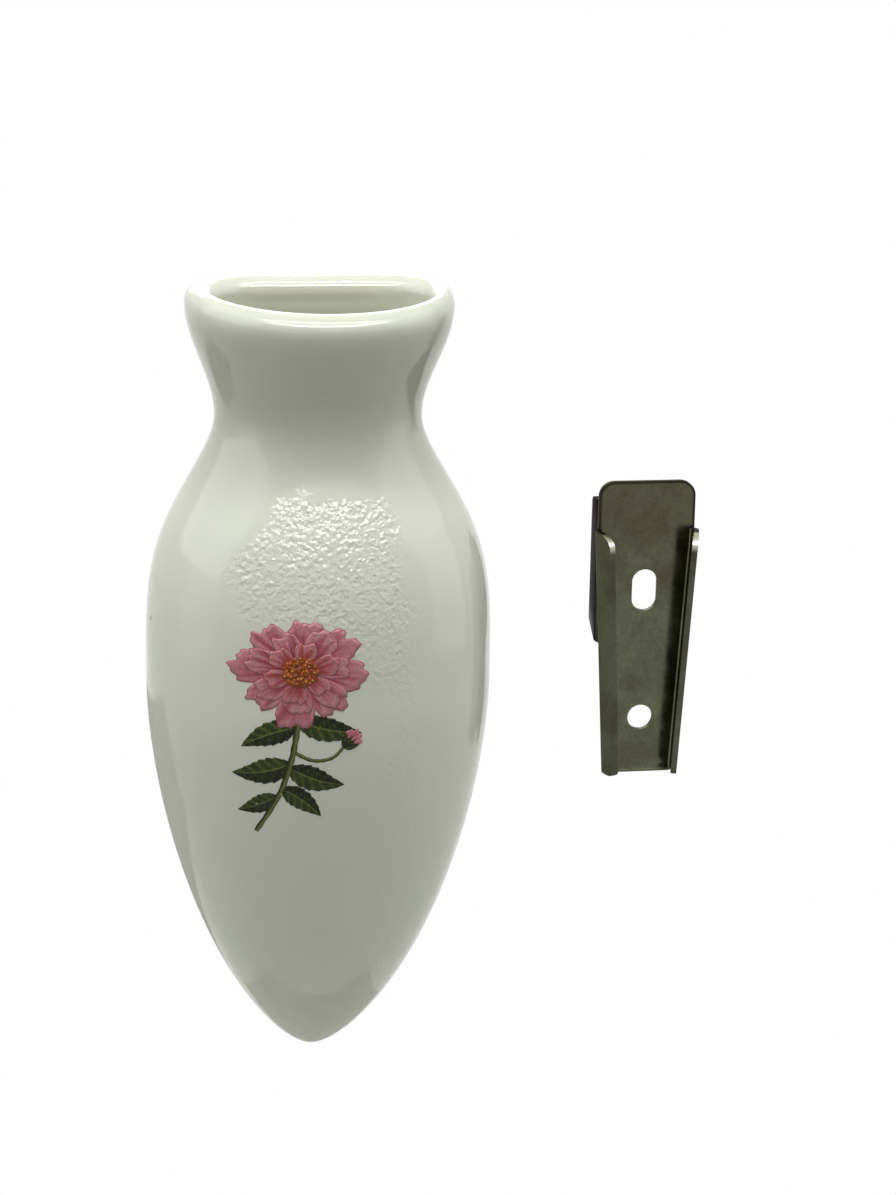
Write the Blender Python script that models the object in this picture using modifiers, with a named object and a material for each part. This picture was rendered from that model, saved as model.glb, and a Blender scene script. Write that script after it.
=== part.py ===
"""Car bud vase: a flat-backed porcelain vase beside the pressed-steel bracket it hangs on.

Metres, +Z up. The vase faces -Y. The origin is the middle of the back face of the dovetail
tongue on the vase, the face that bears on the bracket.
"""

import math

import bmesh
import bpy

# Vase, outside: heights are measured up from the tip
VASE_HEIGHT = 0.1500
BELLY_HEIGHT = 0.0767
BELLY_WIDTH = 0.0634
BELLY_DEPTH = 0.0400
NECK_HEIGHT = 0.1260
NECK_WIDTH = 0.0377
NECK_DEPTH = 0.0275
RIM_WIDTH = 0.0484
RIM_DEPTH = 0.0355
RIM_DIP = 0.0030
LIP_RADIUS = 0.0031
SIDE_SETBACK = 0.0155
TIP_SETBACK = 0.0045
TIP_RISE = 0.0130

# Vase, curve shapes
TAPER_FULLNESS = 1.706
TIP_ROUNDNESS = 0.676
SHOULDER_DROP = 2.085
FRONT_SQUARENESS = 2.1

# Vase, inside
WALL = 0.0045
FLOOR_THICKNESS = 0.0140
HOLLOW_SETBACK = 0.0065

# Dovetail tongue on the back of the vase
TONGUE_BOTTOM = 0.1010
TONGUE_LENGTH = 0.0300
TONGUE_CHAMFER = 0.0008
SEAT_HEIGHT = 0.0140

# Sheet metal of the bracket
SHEET = 0.0011
BEND_RADIUS = 0.0006

# Tapered channel: heights are measured up from its foot
CHANNEL_FOOT_WIDTH = 0.0132
CHANNEL_HEAD_WIDTH = 0.0186
FLANGE_HEIGHT = 0.0490
FLANGE_DEPTH = 0.00645
FLANGE_FOOT_DEPTH = 0.0055
FLANGE_LEAN = math.radians(14.0)
FLANGE_HEAD_DROP = 0.0020
FLANGE_HEAD_ROUND = 0.0052
FLANGE_FOOT_RISE = 0.0016
FLANGE_FOOT_ROUND = 0.0045
FOOT_LIP_HEIGHT = 0.0014
FOOT_LIP_REACH = 0.00045
TAB_WIDTH = 0.0190
TAB_HEIGHT = 0.0095
TAB_CORNER = 0.0030
TAB_RELIEF = 0.0004

# Screw openings in the channel's web
SLOT_WIDTH = 0.0050
SLOT_LENGTH = 0.0083
SLOT_HEIGHT = 0.0368
HOLE_DIAMETER = 0.0050
HOLE_HEIGHT = 0.0109

# Saddle that stands the channel off the dash
SADDLE_WIDTH = 0.0184
SADDLE_LENGTH = 0.0284
SADDLE_DEPTH = 0.0055
SADDLE_HEIGHT = 0.0258
SADDLE_TAPER = 0.0035
SADDLE_CORNER = 0.0014
SADDLE_OPENING_MARGIN = 0.0015

# Fits and places
SLIDE_CLEARANCE = 0.0003
SEAT_GAP = 0.0003
PASS_CLEARANCE = 0.0026
BACK_CLEARANCE = 0.00085
BRACKET_OFFSET = 0.0663

# Facets
LOWER_RINGS = 16
SHOULDER_RINGS = 11
FLARE_RINGS = 7
LIP_RINGS = 5
FRONT_SEGMENTS = 26
CORNER_SEGMENTS = 5
BACK_SEGMENTS = 4
BEND_SEGMENTS = 5
ROUND_SEGMENTS = 5
HOLE_SEGMENTS = 28

# Places worked out from the sizes above
TONGUE_DEPTH = FLANGE_DEPTH + BACK_CLEARANCE - SLIDE_CLEARANCE
TONGUE_MIDDLE = TONGUE_BOTTOM + TONGUE_LENGTH / 2
CHANNEL_FOOT = TONGUE_BOTTOM - PASS_CLEARANCE - FLANGE_HEIGHT
FLARE_TOP = VASE_HEIGHT - LIP_RADIUS


def smooth(share):
    """Ease from 0 to 1 with level ends."""
    share = min(max(share, 0.0), 1.0)
    return share * share * (3.0 - 2.0 * share)


def round_drop(distance, radius, depth):
    """Fall of a rounded corner, as the distance into the corner goes from 0 to its radius."""
    share = min(max(distance / radius, 0.0), 1.0)
    return depth * (1.0 - math.sqrt(1.0 - share * share))


def profile(height, tip, belly, neck, rim):
    """Half width or depth of the vase at a height, from its sizes at the tip, belly, neck and rim."""
    if height < BELLY_HEIGHT:
        rise = max(height - tip, 0.0) / (BELLY_HEIGHT - tip)
        return belly * (1.0 - (1.0 - rise) ** TAPER_FULLNESS) ** TIP_ROUNDNESS
    if height < NECK_HEIGHT:
        rise = (height - BELLY_HEIGHT) / (NECK_HEIGHT - BELLY_HEIGHT)
        return neck + (belly - neck) * smooth(1.0 - rise ** SHOULDER_DROP)
    rise = (height - NECK_HEIGHT) / (FLARE_TOP - NECK_HEIGHT)
    return neck + (rim - neck) * smooth(rise)


def section(half_width, back, front, corner):
    """Points round a D section: flat back, round corners, full front. Back and front are depths."""
    setback = corner * (1.0 - math.exp(-half_width / corner))
    setback = min(setback, 0.8 * (front - back))
    flat = half_width - setback
    points = []
    for i in range(BACK_SEGMENTS):
        points.append((flat * (2.0 * i / BACK_SEGMENTS - 1.0), -back))
    for i in range(CORNER_SEGMENTS):
        angle = math.pi / 2 * (1.0 - i / CORNER_SEGMENTS)
        points.append((flat + setback * math.cos(angle), -back - setback * (1.0 - math.sin(angle))))
    bulge = front - back - setback
    for i in range(FRONT_SEGMENTS):
        angle = math.pi * i / FRONT_SEGMENTS
        across = math.copysign(abs(math.cos(angle)) ** (2.0 / FRONT_SQUARENESS), math.cos(angle))
        forward = abs(math.sin(angle)) ** (2.0 / FRONT_SQUARENESS)
        points.append((half_width * across, -back - setback - bulge * forward))
    for i in range(CORNER_SEGMENTS):
        angle = math.pi / 2 * i / CORNER_SEGMENTS
        points.append((-flat - setback * math.cos(angle), -back - setback * (1.0 - math.sin(angle))))
    return points


def ring(half_width, back, front, corner, height):
    """Section at a height, with the front of the rim dipping below its back."""
    dip = RIM_DIP * smooth((height - NECK_HEIGHT) / (VASE_HEIGHT - NECK_HEIGHT))
    return [(x, y, height - dip * (y / front) ** 2) for x, y in section(half_width, back, front, corner)]


def wall_heights(start):
    """Heights of the rings from a tip up to the top of the flare, closest near the tip."""
    lower = [start + (BELLY_HEIGHT - start) * (i / LOWER_RINGS) ** 1.6 for i in range(1, LOWER_RINGS)]
    shoulder = [BELLY_HEIGHT + (NECK_HEIGHT - BELLY_HEIGHT) * i / SHOULDER_RINGS for i in range(SHOULDER_RINGS)]
    flare = [NECK_HEIGHT + (FLARE_TOP - NECK_HEIGHT) * i / FLARE_RINGS for i in range(FLARE_RINGS + 1)]
    return lower + shoulder + flare


def wall_ring(height, tip, inset, belly_inset, rim_inset, corner):
    """Section of a wall that stands in from the outside of the vase, and ends below at its own tip."""
    half_width = profile(height, tip, BELLY_WIDTH / 2 - belly_inset, NECK_WIDTH / 2 - belly_inset,
                         RIM_WIDTH / 2 - rim_inset)
    belly, neck, rim = BELLY_DEPTH - TIP_SETBACK, NECK_DEPTH - TIP_SETBACK, RIM_DEPTH - TIP_SETBACK
    reach = profile(height, tip, belly - 2 * belly_inset, neck - 2 * belly_inset, rim - 2 * rim_inset)
    back = inset + round_drop(tip + TIP_RISE - height, TIP_RISE, TIP_SETBACK)
    return ring(half_width, back, inset + TIP_SETBACK + reach, corner, height)


def outer_ring(height):
    """Outside of the vase at a height."""
    return wall_ring(height, 0.0, 0.0, 0.0, 0.0, SIDE_SETBACK)


def inner_ring(height):
    """Hollow of the vase at a height: one wall inside the outside, or one lip at the rim."""
    lip = 2.0 * LIP_RADIUS
    inset = WALL + (lip - WALL) * smooth((height - NECK_HEIGHT) / (FLARE_TOP - NECK_HEIGHT))
    return wall_ring(height, FLOOR_THICKNESS, inset, WALL, lip, HOLLOW_SETBACK)


def lip_rings():
    """Half-round lip from the outside of the rim over its crest to the inside."""
    rings = []
    for i in range(1, 2 * LIP_RINGS):
        angle = math.pi * i / (2 * LIP_RINGS)
        inset = LIP_RADIUS * (1.0 - math.cos(angle))
        height = FLARE_TOP + LIP_RADIUS * math.sin(angle)
        corner = SIDE_SETBACK + (HOLLOW_SETBACK - SIDE_SETBACK) * i / (2 * LIP_RINGS)
        rings.append(ring(RIM_WIDTH / 2 - inset, inset, RIM_DEPTH - inset, corner, height))
    return rings


def loft(bm, rings, first_point, last_point):
    """Skin a stack of rings and close both ends on a point."""
    loops = [[bm.verts.new(point) for point in points] for points in rings]
    for low, high in zip(loops, loops[1:]):
        for i in range(len(low)):
            j = (i + 1) % len(low)
            bm.faces.new((low[j], low[i], high[i], high[j]))
    for loop, point in ((loops[0], first_point), (loops[-1], last_point)):
        pole = bm.verts.new(point)
        for i in range(len(loop)):
            bm.faces.new((loop[i], loop[(i + 1) % len(loop)], pole))
    bmesh.ops.recalc_face_normals(bm, faces=bm.faces)


def root_half_width(height):
    """Inner half width of the channel where flange and web would meet, at a height above its foot."""
    taper = (CHANNEL_HEAD_WIDTH - CHANNEL_FOOT_WIDTH) / 2 / FLANGE_HEIGHT
    return CHANNEL_FOOT_WIDTH / 2 + taper * height


def make_mesh_object(name, bm, collection, material=None):
    """Turn a bmesh into a smooth-shaded object in a collection."""
    mesh = bpy.data.meshes.new(name)
    bm.to_mesh(mesh)
    bm.free()
    mesh.shade_smooth()
    mesh.set_sharp_from_angle(angle=math.radians(35.0))
    obj = bpy.data.objects.new(name, mesh)
    collection.objects.link(obj)
    if material:
        mesh.materials.append(material)
    return obj


def mark_helper(obj):
    """Keep a cutter or a joined block out of the finished part."""
    obj.hide_render = True
    obj.display_type = "WIRE"


def add_boolean(obj, helper, operation):
    modifier = obj.modifiers.new(helper.name, "BOOLEAN")
    modifier.operation = operation
    modifier.solver = "EXACT"
    modifier.object = helper


def make_material(name, colour, roughness, metallic):
    material = bpy.data.materials.new(name)
    material.use_nodes = True
    shader = material.node_tree.nodes["Principled BSDF"]
    shader.inputs["Base Color"].default_value = (*colour, 1.0)
    shader.inputs["Roughness"].default_value = roughness
    shader.inputs["Metallic"].default_value = metallic
    return material


def make_tongue(collection):
    """Dovetail wedge that fills the channel, less its clearance, in the vase's own frame."""
    bm = bmesh.new()
    bmesh.ops.create_cube(bm, size=2.0)
    lean = math.tan(FLANGE_LEAN)
    side_clearance = SLIDE_CLEARANCE / math.cos(FLANGE_LEAN)
    for vert in bm.verts:
        side, back, up = vert.co
        height = TONGUE_LENGTH if up > 0 else 0.0
        depth = TONGUE_DEPTH if back > 0 else -WALL / 2
        ahead_of_web = TONGUE_DEPTH + SLIDE_CLEARANCE - depth
        half_width = root_half_width(SEAT_HEIGHT + height) - lean * ahead_of_web - side_clearance
        vert.co = (side * half_width, depth, TONGUE_BOTTOM + height)
    rear = [edge for edge in bm.edges if all(vert.co.y > 0 for vert in edge.verts)]
    bmesh.ops.bevel(bm, geom=rear, offset=TONGUE_CHAMFER, segments=2, profile=0.5, affect="EDGES")
    tongue = make_mesh_object("vase_tongue", bm, collection)
    mark_helper(tongue)
    return tongue


def make_vase(parts, helpers):
    """Hollow porcelain vase with its tongue."""
    outside = [outer_ring(height) for height in wall_heights(0.0)]
    inside = [inner_ring(height) for height in reversed(wall_heights(FLOOR_THICKNESS))]
    bm = bmesh.new()
    outer_tip = (0.0, -TIP_SETBACK, 0.0)
    inner_tip = (0.0, -WALL - TIP_SETBACK, FLOOR_THICKNESS)
    loft(bm, outside + lip_rings() + inside, outer_tip, inner_tip)
    glaze = make_material("off_white_glaze", (0.74, 0.75, 0.68), 0.15, 0.0)
    vase = make_mesh_object("vase_body", bm, parts, glaze)
    tongue = make_tongue(helpers)
    tongue.parent = vase
    add_boolean(vase, tongue, "UNION")
    vase.location = (0.0, -TONGUE_DEPTH, -TONGUE_MIDDLE)
    return vase


def rounded_shares(edge_share):
    """Places across a width, as shares from -1 to 1, set closer in the rounded ends."""
    ends = [edge_share * math.sin(math.pi / 2 * i / ROUND_SEGMENTS) for i in range(1, ROUND_SEGMENTS + 1)]
    half = [0.0, (1.0 - edge_share) / 2, 1.0 - edge_share]
    half += [1.0 - edge_share + end for end in ends]
    return [-share for share in reversed(half[1:])] + half


def sheet_grid(bm, columns):
    """Join columns of points into a sheet of quads, and return the columns of vertices."""
    grid = [[bm.verts.new(point) for point in column] for column in columns]
    for left, right in zip(grid, grid[1:]):
        for i in range(len(left) - 1):
            bm.faces.new((left[i], right[i], right[i + 1], left[i + 1]))
    return grid


def channel_flange_places():
    """Places along the right flange and its bend: (offset from the root, depth ahead of the web)."""
    turn = math.pi / 2 + FLANGE_LEAN
    tangent = BEND_RADIUS * math.tan(turn / 2)
    places = []
    for i in range(1, BEND_SEGMENTS + 1):
        angle = math.pi / 2 - turn * i / BEND_SEGMENTS
        places.append((BEND_RADIUS * math.cos(angle) - tangent, BEND_RADIUS * (1.0 - math.sin(angle))))
    straight = FLANGE_DEPTH - FLANGE_HEAD_ROUND
    depths = [straight + FLANGE_HEAD_ROUND * math.sin(math.pi / 2 * i / ROUND_SEGMENTS)
              for i in range(ROUND_SEGMENTS + 1)]
    bend_end = places[-1][1]
    for depth in depths:
        if depth > bend_end + SHEET / 4:
            places.append((-math.tan(FLANGE_LEAN) * depth, depth))
    return places


def channel_row_shares():
    """Heights of the rows up the flange, as shares of its height, with close rows in the foot lip."""
    lip = FOOT_LIP_HEIGHT / FLANGE_HEIGHT
    upper = [lip + (1.0 - lip) * i / 5 for i in range(1, 6)]
    return [0.0, lip / 3, 2 * lip / 3, lip] + upper


def foot_lip(height):
    """How far the foot of the web is turned forward at a height."""
    share = max(1.0 - height / FOOT_LIP_HEIGHT, 0.0)
    return FOOT_LIP_REACH * share * share


def flange_point(offset, depth, height):
    """Point of the right flange at a height: past the bend, the flange gets shallower towards the foot."""
    bend_end = BEND_RADIUS * (1.0 + math.sin(FLANGE_LEAN))
    past_bend = max(depth - bend_end, 0.0) / (FLANGE_DEPTH - bend_end)
    lost = past_bend * (FLANGE_DEPTH - FLANGE_FOOT_DEPTH) * (1.0 - height / FLANGE_HEIGHT)
    in_bend = max(1.0 - depth / BEND_RADIUS, 0.0)
    x = root_half_width(height) + offset + math.tan(FLANGE_LEAN) * lost
    return x, lost - depth - in_bend * foot_lip(height), height


def channel_columns():
    """Inner face of the channel, as columns from its left flange tip to its right one."""
    tangent = BEND_RADIUS * math.tan((math.pi / 2 + FLANGE_LEAN) / 2)
    web = []
    for share in rounded_shares(TAB_CORNER / (TAB_WIDTH / 2)):
        heights = [FLANGE_HEIGHT * row for row in channel_row_shares()]
        web.append([(share * (root_half_width(z) - tangent), -foot_lip(z), z) for z in heights])
    flange = []
    for offset, depth in channel_flange_places():
        foot = round_drop(depth - FLANGE_DEPTH + FLANGE_FOOT_ROUND, FLANGE_FOOT_ROUND, FLANGE_FOOT_RISE)
        head = round_drop(depth - FLANGE_DEPTH + FLANGE_HEAD_ROUND, FLANGE_HEAD_ROUND, FLANGE_HEAD_DROP)
        heights = [foot + (FLANGE_HEIGHT - head - foot) * row for row in channel_row_shares()]
        flange.append([flange_point(offset, depth, z) for z in heights])
    mirrored = [[(-x, y, z) for x, y, z in column] for column in reversed(flange)]
    return mirrored, web, flange


def tab_columns():
    """Rows of the tab above the web: a relief next to the flanges, then up to the rounded top."""
    columns = []
    half = TAB_WIDTH / 2
    for share in rounded_shares(TAB_CORNER / half):
        x = share * half
        top = FLANGE_HEIGHT + TAB_HEIGHT - round_drop(abs(x) - half + TAB_CORNER, TAB_CORNER, TAB_CORNER)
        base = FLANGE_HEIGHT + TAB_RELIEF
        columns.append([(x, 0.0, base + (top - base) * i / 3) for i in range(4)])
    return columns


def make_channel(parts, helpers, steel):
    """Pressed channel: web with tab, slot and hole, and two flanges that lean in."""
    bm = bmesh.new()
    left, web, right = channel_columns()
    grid = sheet_grid(bm, left + web + right)
    tab = sheet_grid(bm, tab_columns())
    web_grid = grid[len(left):len(left) + len(web)]
    for i in range(len(tab) - 1):
        bm.faces.new((web_grid[i][-1], web_grid[i + 1][-1], tab[i + 1][0], tab[i][0]))
    channel = make_mesh_object("bracket_channel", bm, parts, steel)
    thicken(channel)
    slot = make_slot_cutter("channel_slot_cutter", helpers, SLOT_WIDTH, SLOT_LENGTH)
    slot.location = (0.0, 0.0, SLOT_HEIGHT)
    hole = make_slot_cutter("channel_hole_cutter", helpers, HOLE_DIAMETER, HOLE_DIAMETER)
    hole.location = (0.0, 0.0, HOLE_HEIGHT)
    for cutter in (slot, hole):
        cutter.parent = channel
        add_boolean(channel, cutter, "DIFFERENCE")
    return channel


def thicken(obj):
    """Give an open sheet its thickness, on the side away from its front face."""
    modifier = obj.modifiers.new("sheet", "SOLIDIFY")
    modifier.thickness = SHEET
    modifier.offset = -1.0
    modifier.use_even_offset = True


def make_slot_cutter(name, collection, width, length):
    """Round-ended bar through the sheet, along Y: a plain round one where length equals width."""
    bm = bmesh.new()
    bmesh.ops.create_cone(bm, cap_ends=True, segments=HOLE_SEGMENTS, radius1=width / 2, radius2=width / 2,
                          depth=8 * SHEET)
    for vert in bm.verts:
        x, y, z = vert.co
        stretch = math.copysign((length - width) / 2, y) if abs(y) > width / 1000 else 0.0
        vert.co = (x, -z, y + stretch)
    cutter = make_mesh_object(name, bm, collection)
    mark_helper(cutter)
    return cutter


def saddle_columns():
    """Inside of the saddle, as columns from its left flange tip over the web to its right one."""
    edge = SADDLE_WIDTH / 2 - SHEET
    tangent = BEND_RADIUS
    web = [[(share * (edge - tangent), 0.0, z) for z in (0.0, SADDLE_LENGTH / 2, SADDLE_LENGTH)]
           for share in (-1.0, -0.5, 0.0, 0.5, 1.0)]
    places = []
    for i in range(1, BEND_SEGMENTS + 1):
        angle = math.pi / 2 * (1.0 - i / BEND_SEGMENTS)
        places.append((edge - tangent * (1.0 - math.cos(angle)), tangent * (1.0 - math.sin(angle))))
    straight = SADDLE_DEPTH - SADDLE_CORNER
    for i in range(ROUND_SEGMENTS + 1):
        places.append((edge, straight + SADDLE_CORNER * math.sin(math.pi / 2 * i / ROUND_SEGMENTS)))
    flange = []
    for x, depth in places:
        low = SADDLE_TAPER * depth / SADDLE_DEPTH
        high = SADDLE_LENGTH - round_drop(depth - straight, SADDLE_CORNER, SADDLE_CORNER)
        flange.append([(x, depth, z) for z in (low, (low + high) / 2, high)])
    mirrored = [[(-x, y, z) for x, y, z in column] for column in reversed(flange)]
    return mirrored + web + flange


def make_saddle(parts, helpers, steel):
    """Stand-off behind the channel: a web with a clear opening and two flanges that point back."""
    bm = bmesh.new()
    sheet_grid(bm, saddle_columns())
    for face in bm.faces:
        face.normal_flip()
    saddle = make_mesh_object("bracket_saddle", bm, parts, steel)
    thicken(saddle)
    margin = 2 * SADDLE_OPENING_MARGIN
    opening = make_slot_cutter("saddle_opening_cutter", helpers, SLOT_WIDTH + margin, SLOT_LENGTH + margin)
    opening.location = (0.0, 0.0, SLOT_HEIGHT - SADDLE_HEIGHT)
    opening.parent = saddle
    add_boolean(saddle, opening, "DIFFERENCE")
    return saddle


def make_bracket(parts, helpers):
    """Channel and saddle, standing beside the vase on one empty at the channel's foot."""
    steel = make_material("dull_steel", (0.30, 0.29, 0.24), 0.45, 1.0)
    channel = make_channel(parts, helpers, steel)
    saddle = make_saddle(parts, helpers, steel.copy())
    foot = bpy.data.objects.new("bracket_foot", None)
    helpers.objects.link(foot)
    foot.location = (BRACKET_OFFSET, SLIDE_CLEARANCE, CHANNEL_FOOT - TONGUE_MIDDLE)
    channel.parent = foot
    saddle.parent = foot
    saddle.location = (0.0, 2 * SHEET + SEAT_GAP, SADDLE_HEIGHT)


def main():
    for obj in list(bpy.data.objects):
        bpy.data.objects.remove(obj, do_unlink=True)
    parts = bpy.data.collections.new("car_bud_vase")
    helpers = bpy.data.collections.new("cutters_and_guides")
    for collection in (parts, helpers):
        bpy.context.scene.collection.children.link(collection)
    make_vase(parts, helpers)
    make_bracket(parts, helpers)


main()
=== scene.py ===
"""Looks of the car bud vase: glazed porcelain with a fired flower, and its steel bracket."""

import math

import bmesh
import bpy
from mathutils import Matrix, Vector, noise


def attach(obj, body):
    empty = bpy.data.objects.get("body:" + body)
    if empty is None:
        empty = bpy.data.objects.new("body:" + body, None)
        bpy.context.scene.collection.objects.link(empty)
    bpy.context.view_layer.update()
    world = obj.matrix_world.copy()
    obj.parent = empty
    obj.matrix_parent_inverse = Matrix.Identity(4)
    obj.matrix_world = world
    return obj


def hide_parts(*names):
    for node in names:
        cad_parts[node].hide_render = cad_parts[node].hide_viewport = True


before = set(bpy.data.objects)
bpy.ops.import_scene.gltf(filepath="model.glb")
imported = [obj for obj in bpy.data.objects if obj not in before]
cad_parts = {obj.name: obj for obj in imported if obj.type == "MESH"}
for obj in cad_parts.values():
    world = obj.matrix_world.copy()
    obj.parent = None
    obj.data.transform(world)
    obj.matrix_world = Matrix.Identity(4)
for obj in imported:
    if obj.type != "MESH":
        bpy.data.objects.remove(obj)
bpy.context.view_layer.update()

# Sizes of the vase, as in the part
VASE_HEIGHT = 0.1500
BELLY_HEIGHT = 0.0767
BELLY_WIDTH = 0.0634
BELLY_DEPTH = 0.0400
NECK_HEIGHT = 0.1260
NECK_WIDTH = 0.0377
NECK_DEPTH = 0.0275
RIM_WIDTH = 0.0484
RIM_DEPTH = 0.0355
LIP_RADIUS = 0.0031
SIDE_SETBACK = 0.0155
TIP_SETBACK = 0.0045
TIP_RISE = 0.0130
TAPER_FULLNESS = 1.706
TIP_ROUNDNESS = 0.676
SHOULDER_DROP = 2.085
FRONT_SQUARENESS = 2.1
WALL = 0.0045
FLOOR_THICKNESS = 0.0140
HOLLOW_SETBACK = 0.0065
FLARE_TOP = VASE_HEIGHT - LIP_RADIUS
LIP_THICKNESS = 2.0 * LIP_RADIUS
MOST_SETBACK = 0.8

# Rim as photographed, a little uneven; the part's is even
RIM_DIP = 0.0026
SIDE_LIP = 0.0050
FRONT_LIP = 0.0070
MOUTH_SHIFT = 0.0005
MOUTH_SETBACK = 0.0090

# Tongue on the back of the vase
TONGUE_BOTTOM = 0.1010
TONGUE_LENGTH = 0.0300
TONGUE_DEPTH = 0.0070
TONGUE_MIDDLE = 0.1160
TONGUE_ROUND = 0.0011
TONGUE_FILLET = 0.0016
TONGUE_ROOT_TURN = 84.0
TONGUE_ROOT_SINK = 0.00006
TONGUE_EDGE_SHARE = 0.8
SEAT_HEIGHT = 0.0140

# Sizes of the bracket, as in the part
SHEET = 0.0011
BEND_RADIUS = 0.0006
CHANNEL_FOOT_WIDTH = 0.0132
CHANNEL_HEAD_WIDTH = 0.0186
FLANGE_HEIGHT = 0.0490
FLANGE_DEPTH = 0.00645
FLANGE_FOOT_DEPTH = 0.0055
FLANGE_LEAN = math.radians(14.0)
FLANGE_HEAD_DROP = 0.0020
FLANGE_HEAD_ROUND = 0.0052
FLANGE_FOOT_RISE = 0.0016
FLANGE_FOOT_ROUND = 0.0045
FOOT_LIP_HEIGHT = 0.0014
FOOT_LIP_REACH = 0.00045
TAB_WIDTH = 0.0190
TAB_HEIGHT = 0.0095
TAB_CORNER = 0.0030
SLOT_WIDTH = 0.0050
SLOT_LENGTH = 0.0083
SLOT_HEIGHT = 0.0368
HOLE_DIAMETER = 0.0050
HOLE_HEIGHT = 0.0109
SADDLE_WIDTH = 0.0184
SADDLE_LENGTH = 0.0284
SADDLE_DEPTH = 0.0055
SADDLE_HEIGHT = 0.0258
SADDLE_TAPER = 0.0035
SADDLE_CORNER = 0.0014
SADDLE_OPENING_MARGIN = 0.0015
SLIDE_CLEARANCE = 0.0003
SEAT_GAP = 0.0003
CHANNEL_FOOT = 0.0494
BRACKET_OFFSET = 0.0663

# Finish of the bracket; the part has a deeper relief and sharp edges
TAB_RELIEF = 0.00012
EDGE_WEAR = 0.00026
WEAR_SEGMENTS = 3
WORN_ANGLE = 50.0
CUTTER_DEPTH = 8 * SHEET

# Fineness of the meshes
LOWER_RINGS = 56
SHOULDER_RINGS = 36
FLARE_RINGS = 20
LIP_RINGS = 9
FRONT_SEGMENTS = 92
CORNER_SEGMENTS = 12
BACK_SEGMENTS = 12
BEND_SEGMENTS = 8
ROUND_SEGMENTS = 9
HOLE_SEGMENTS = 48
TIP_CROWDING = 1.6
TONGUE_STEPS = 6
TONGUE_SPACING = 0.0008
FOOT_LIP_ROWS = 6
FLANGE_ROWS = 12
TAB_ROWS = 6
SADDLE_ROWS = 6
CAST_SHARP_ANGLE = 35.0
SHEET_SHARP_ANGLE = 40.0

# Camera
CAMERA_PLACE = Vector((-0.05828, -0.51239, 0.10900))
CAMERA_TARGET = Vector((0.02462, -0.0170, -0.02559))
CAMERA_ROLL = math.radians(1.0)
CAMERA_LENS = 84.124
SENSOR_WIDTH = 36.0
CLIP_START = 0.01
CLIP_END = 100.0

# Lamps: azimuth and elevation from the vase, distance, width, height and power
LIGHT_TARGET = Vector((0.0, -0.03, -0.02))
LAMPS = (
    ("tube", 0.0, 80.0, 0.72, 0.70, 0.025, 2.05),
    ("top_box", 0.0, 72.0, 0.75, 0.80, 0.16, 1.0),
    ("front_strip", 6.0, 55.0, 1.00, 0.60, 0.10, 2.6),
    ("left_box", -92.0, 38.0, 0.80, 0.90, 0.80, 2.6),
    ("right_box", 81.0, 42.0, 0.70, 0.55, 0.50, 0.85),
    ("left_panel", -81.0, 0.0, 1.00, 0.60, 0.80, 0.7),
    ("right_panel", 81.0, 0.0, 1.00, 0.60, 0.80, 1.08),
    ("back_box", 180.0, 25.0, 0.90, 0.60, 0.40, 1.8),
)
# Cards that only show in the gloss: the same, with a brightness
CARDS = (
    ("right_card", 117.0, -12.0, 0.55, 0.14, 0.26, 0.25),
    ("left_card", -145.0, -38.0, 0.40, 0.36, 0.26, 0.35),
    ("foot_card", 180.0, -81.0, 0.115, 0.06, 0.038, 0.42),
    ("glint_left", -30.0, 54.0, 1.05, 0.52, 0.17, 9.5),
    ("glint_middle", 6.0, 54.0, 1.05, 0.52, 0.17, 9.5),
    ("glint_right", 42.0, 54.0, 1.05, 0.52, 0.17, 9.5),
)
WORLD_LEVEL = 0.050
FLOOR_HEIGHT = -0.28
FLOOR_RADIUS = 12.0
WHITE = (1.0, 1.0, 1.0, 1.0)

# Glaze relief
WAVE_HEIGHT = 0.00016
PEBBLE_HEIGHT = 0.00044

# Flower transfer: place of the bloom's middle, thickness of the layers, and fineness
BLOOM_X = -0.0062
BLOOM_HEIGHT = 0.0858
LAYER_LIFT = 0.00003
LAYER_STEP = 0.000008
LAYER_THICKNESS = 0.00006
PETAL_ROWS = 12
PETAL_COLUMNS = 22
LEAF_ROWS = 40
LEAF_SIDES = (-1.0, -0.8, -0.5, -0.13, 0.0, 0.13, 0.5, 0.8, 1.0)
STEM_STEPS = 10
DOT_SIDES = 8

VASE_PLACE = Vector((0.0, -TONGUE_DEPTH, -TONGUE_MIDDLE))
BRACKET_PLACE = Vector((BRACKET_OFFSET, SLIDE_CLEARANCE, CHANNEL_FOOT - TONGUE_MIDDLE))
HEAD_Z = BRACKET_PLACE.z + FLANGE_HEIGHT


def srgb(red, green, blue):
    """Linear colour of a display colour."""
    def linear(value):
        return value / 12.92 if value <= 0.04045 else ((value + 0.055) / 1.055) ** 2.4
    return (linear(red), linear(green), linear(blue), 1.0)


# Colours of the transfer
OUTER_TONES = (srgb(0.60, 0.24, 0.30), srgb(0.71, 0.36, 0.42), srgb(0.83, 0.58, 0.60))
MIDDLE_TONES = (srgb(0.57, 0.20, 0.26), srgb(0.69, 0.33, 0.39), srgb(0.85, 0.61, 0.62))
INNER_TONES = (srgb(0.60, 0.22, 0.16), srgb(0.69, 0.33, 0.34), srgb(0.82, 0.56, 0.57))
ORANGE_DEEP = srgb(0.52, 0.18, 0.03)
ORANGE = srgb(0.66, 0.31, 0.05)
GOLD = srgb(0.90, 0.64, 0.18)
LEAF_DARK = srgb(0.045, 0.07, 0.03)
LEAF_GREEN = srgb(0.21, 0.28, 0.06)
LEAF_PALE = srgb(0.52, 0.55, 0.28)
STEM_GREEN = srgb(0.24, 0.28, 0.10)
STEM_PALE = srgb(0.50, 0.51, 0.27)
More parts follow.
